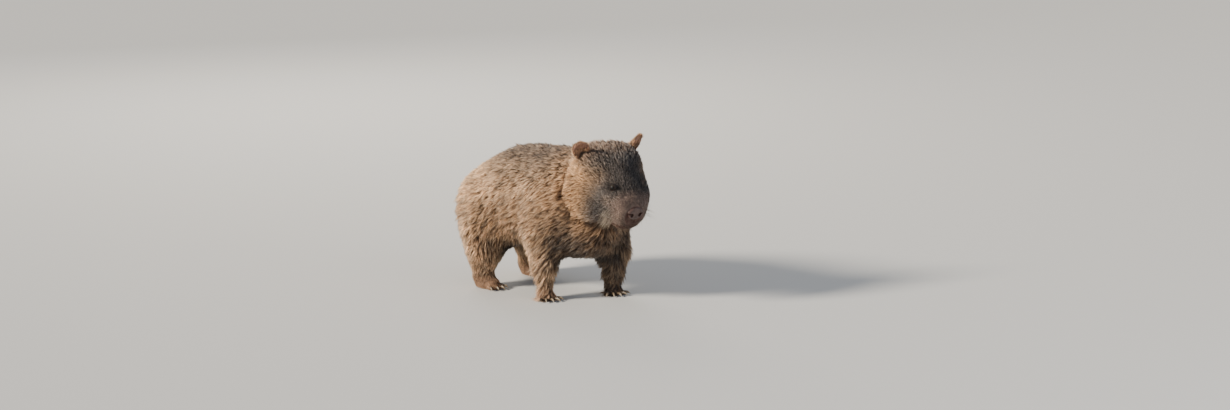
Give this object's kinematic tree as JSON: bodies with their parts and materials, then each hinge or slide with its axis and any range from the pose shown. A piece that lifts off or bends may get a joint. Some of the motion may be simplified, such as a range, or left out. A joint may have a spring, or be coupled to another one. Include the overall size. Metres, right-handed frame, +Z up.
{
  "type": "standing wombat",
  "caption": "Life-size still model of a bare-nosed wombat in mid-step, with a coarse brown coat, a broad blunt head, short ears and strong claws.",
  "frame": {"origin": "on the floor, under the middle of the animal's box", "axes": "+X towards the nose, +Y towards the animal's left side, +Z up"},
  "size_m": [0.6188, 0.2864, 0.4032],
  "materials": {
    "coat": "coarse fur, grey-brown with golden tips",
    "eye": "wet and glossy, nearly black",
    "nose": "bare leathery skin, faintly moist",
    "claw": "worn horn"
  },
  "bodies": {
    "root": {"torso": "coat", "neck": "coat", "head": "coat", "ear_right": "coat", "ear_left": "coat", "tail": "coat", "foreleg_right": "coat", "foreleg_left": "coat", "hindleg_right": "coat", "hindleg_left": "coat", "eye_right": "eye", "eye_left": "eye", "nose": "nose", "foreclaw_right_1": "claw", "foreclaw_right_2": "claw", "foreclaw_right_3": "claw", "foreclaw_right_4": "claw", "foreclaw_right_5": "claw", "foreclaw_left_1": "claw", "foreclaw_left_2": "claw", "foreclaw_left_3": "claw", "foreclaw_left_4": "claw", "foreclaw_left_5": "claw", "hindclaw_right_1": "claw", "hindclaw_right_2": "claw", "hindclaw_right_3": "claw", "hindclaw_right_4": "claw", "hindclaw_left_1": "claw", "hindclaw_left_2": "claw", "hindclaw_left_3": "claw", "hindclaw_left_4": "claw"}
  },
  "joints": []
}
